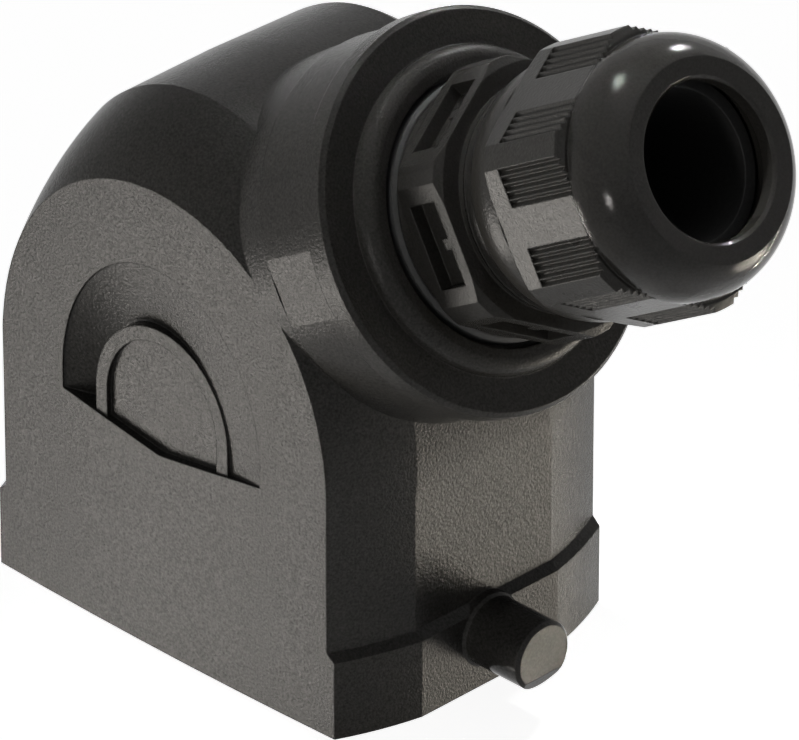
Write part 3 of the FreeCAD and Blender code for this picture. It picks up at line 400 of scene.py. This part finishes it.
def thread_tree():
    """A Geometry Nodes tree that winds the ridge along Z, with its sizes as named inputs."""
    tree = bpy.data.node_groups.new("fine_thread", "GeometryNodeTree")
    sizes = {"Root Radius": 12.72 * MM, "Ridge": 0.28 * MM, "Pitch": 1.5 * MM, "Length": 11.0 * MM}
    for label, value in sizes.items():
        socket = tree.interface.new_socket(label, in_out="INPUT", socket_type="NodeSocketFloat")
        socket.default_value = value
    tree.interface.new_socket("Geometry", in_out="OUTPUT", socket_type="NodeSocketGeometry")
    given = tree.nodes.new("NodeGroupInput").outputs
    turns = maths(tree, "DIVIDE", given["Length"], given["Pitch"])
    path = add(tree, "GeometryNodeCurveSpiral", {
        "Resolution": SPIRAL_STEPS,
        "Rotations": turns,
        "Start Radius": given["Root Radius"],
        "End Radius": given["Root Radius"],
        "Height": given["Length"],
    })
    corners = {"Resolution": RIDGE_CORNERS, "Radius": given["Ridge"]}
    section = add(tree, "GeometryNodeCurvePrimitiveCircle", corners)
    ridge = add(tree, "GeometryNodeCurveToMesh", {
        "Curve": path.outputs[0],
        "Profile Curve": section.outputs[0],
        "Fill Caps": True,
    })
    single = add(tree, "GeometryNodeRealizeInstances", {0: ridge.outputs[0]})
    finish = {"Geometry": single.outputs[0], "Material": gland_plastic}
    dressed = add(tree, "GeometryNodeSetMaterial", finish)
    add(tree, "NodeGroupOutput", {0: dressed.outputs[0]})
    return tree


# %% Make the thread
THREAD_STARTS = 45.9 * MM


def geometry_piece(name, tree, place):
    """Runs a Geometry Nodes tree once and returns its result as a plain mesh put in place."""
    holder = bpy.data.objects.new(name + "_holder", bpy.data.meshes.new(name + "_holder"))
    bpy.context.scene.collection.objects.link(holder)
    holder.modifiers.new(name, "NODES").node_group = tree
    evaluated = holder.evaluated_get(bpy.context.evaluated_depsgraph_get())
    mesh = bpy.data.meshes.new_from_object(evaluated)
    bpy.data.objects.remove(holder)
    mesh.transform(place)
    mesh.name = name
    piece = bpy.data.objects.new(name, mesh)
    bpy.context.scene.collection.objects.link(piece)
    return piece


lean = Matrix.Rotation(math.radians(90 - ENTRY_RISE_DEG), 4, "Y")
on_entry = Matrix.Translation(ENTRY_CENTRE + ENTRY_AXIS * THREAD_STARTS) @ lean
thread = geometry_piece("gland_thread", thread_tree(), on_entry)
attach(thread, "housing")
radii = [(point.co - ENTRY_CENTRE).cross(ENTRY_AXIS).length for point in thread.data.vertices]
faces = len(thread.data.polygons)
print("thread of", faces, "faces, crest radius", round(max(radii) / MM, 2), "mm")

# %% [markdown]
# The studio. The photograph looks lit by two large soft boxes, one on each side, a little behind
# the object and below it, so that its two flat sides glow and what faces the camera stays dark.
# Two strips draw the long highlights on the nut and on the far corner, and two small lamps high
# up draw the bright points on the nut. The lamps aimed at the nut have narrow beams, as with a
# grid in front, so that little else gets their light. A broad weak box above lights the table.
# Sun or sky would be simpler, but neither leaves the camera's side so dark. The lamps are
# sampled directly only, because a ray that bounces off the plastic would meet the table first
# and miss the boxes below it.

# %% Lamps
LOW_LAMPS_AWAY = 0.60
HIGH_LAMPS_AWAY = 0.90
DOME_STATION = 70
NEUTRAL = (1.0, 1.0, 1.0)
OPEN_BEAM = 180

middle = (cad_low + cad_high) / 2
dome = ENTRY_CENTRE + ENTRY_AXIS * DOME_STATION * MM


def soft_box(name, target, direction, distance, size, watts, colour, beam=OPEN_BEAM):
    """A rectangular lamp that faces its target. The beam is its whole angle in degrees."""
    data = bpy.data.lights.new(name, "AREA")
    data.shape = "RECTANGLE"
    data.size, data.size_y = size
    data.energy = watts
    data.spread = math.radians(beam)
    data.color = colour
    data.cycles.use_multiple_importance_sampling = False
    lamp = bpy.data.objects.new(name, data)
    towards = Vector(direction).normalized()
    lamp.location = target + towards * distance
    lamp.rotation_euler = towards.to_track_quat("Z", "Y").to_euler()
    lamp.visible_camera = False
    bpy.context.scene.collection.objects.link(lamp)
    return lamp


lamps = [
    soft_box("left_box", middle, (-0.58, -0.64, -0.50), LOW_LAMPS_AWAY,
             size=(0.24, 0.24), watts=2.25, colour=(1.0, 0.95, 0.88)),
    soft_box("right_box", middle, (0.54, 0.68, -0.49), LOW_LAMPS_AWAY,
             size=(0.22, 0.22), watts=1.5, colour=(1.0, 0.91, 0.76)),
    soft_box("left_strip", dome, (0.27, -0.95, 0.10), LOW_LAMPS_AWAY,
             size=(0.12, 0.20), watts=0.018, colour=(1.0, 0.97, 0.93), beam=12),
    soft_box("corner_strip", middle, (0.25, 0.82, -0.51), LOW_LAMPS_AWAY,
             size=(0.035, 0.25), watts=0.35, colour=(1.0, 0.93, 0.80)),
    soft_box("high_strip", dome, (-0.36, 0.02, 0.93), HIGH_LAMPS_AWAY,
             size=(0.07, 0.12), watts=0.030, colour=NEUTRAL, beam=8),
    soft_box("high_point", dome, (-0.28, 0.77, 0.58), HIGH_LAMPS_AWAY,
             size=(0.09, 0.09), watts=0.020, colour=NEUTRAL, beam=8),
    soft_box("top_box", middle, (0.0, 0.0, 1.0), HIGH_LAMPS_AWAY,
             size=(0.60, 0.60), watts=0.75, colour=NEUTRAL),
]
print(len(lamps), "lamps")

# %% [markdown]
# The table is a sheet of pale milky glass. It could be a plain white plane, but then it would
# hide the low lamps. Light Path tells the rays apart: shadow rays pass through, so the lamps
# below reach the object, and what the camera, a mirror or a pane sees is lifted to white. Seen
# from below the sheet is clear, so that the underside can be looked at. The room around does
# the same: it is dim as a source of light and white where it is seen.

# %% Floor
FLOOR_HALF = 1.5
TABLE_TONE = (0.8, 0.8, 0.8, 1.0)
TABLE_LIFT = 0.9
ROOM_LIGHT = 0.05
ROOM_SEEN = 1.0

floor_mesh = bpy.data.meshes.new("floor")
turns = ((-1, -1), (1, -1), (1, 1), (-1, 1))
corners = [(x * FLOOR_HALF, y * FLOOR_HALF, cad_low.z) for x, y in turns]
floor_mesh.from_pydata(corners, [], [(0, 1, 2, 3)])
floor = bpy.data.objects.new("floor", floor_mesh)
bpy.context.scene.collection.objects.link(floor)


def seen_rays(tree):
    """One for rays from the camera, a reflection or a clear pane, and nothing for the rest."""
    path = add(tree, "ShaderNodeLightPath").outputs
    direct = maths(tree, "ADD", path["Is Camera Ray"], path["Is Transmission Ray"])
    return maths(tree, "ADD", direct, path["Is Glossy Ray"], clamp=True)


pale, tree = new_material("pale_floor")
diffuse = add(tree, "ShaderNodeBsdfDiffuse", {"Color": TABLE_TONE})
lifted = maths(tree, "MULTIPLY", seen_rays(tree), TABLE_LIFT)
lift = add(tree, "ShaderNodeEmission", {"Strength": lifted})
together = add(tree, "ShaderNodeAddShader", {0: diffuse.outputs[0], 1: lift.outputs[0]})
clear = add(tree, "ShaderNodeBsdfTransparent")
below = add(tree, "ShaderNodeNewGeometry").outputs["Backfacing"]
shadow = add(tree, "ShaderNodeLightPath").outputs["Is Shadow Ray"]
open_to = maths(tree, "MAXIMUM", below, shadow)
parts = {0: open_to, 1: together.outputs[0], 2: clear.outputs[0]}
finish_material(tree, add(tree, "ShaderNodeMixShader", parts).outputs[0])
floor_mesh.materials.append(pale)

world = bpy.data.worlds.new("studio")
world.use_nodes = True
world.node_tree.nodes.clear()
tree = world.node_tree
strength = from_texture(tree, seen_rays(tree), ROOM_LIGHT, ROOM_SEEN)
background = add(tree, "ShaderNodeBackground", {"Strength": strength})
add(tree, "ShaderNodeOutputWorld", {"Surface": background.outputs[0]})
bpy.context.scene.world = world
print("floor and world ready")
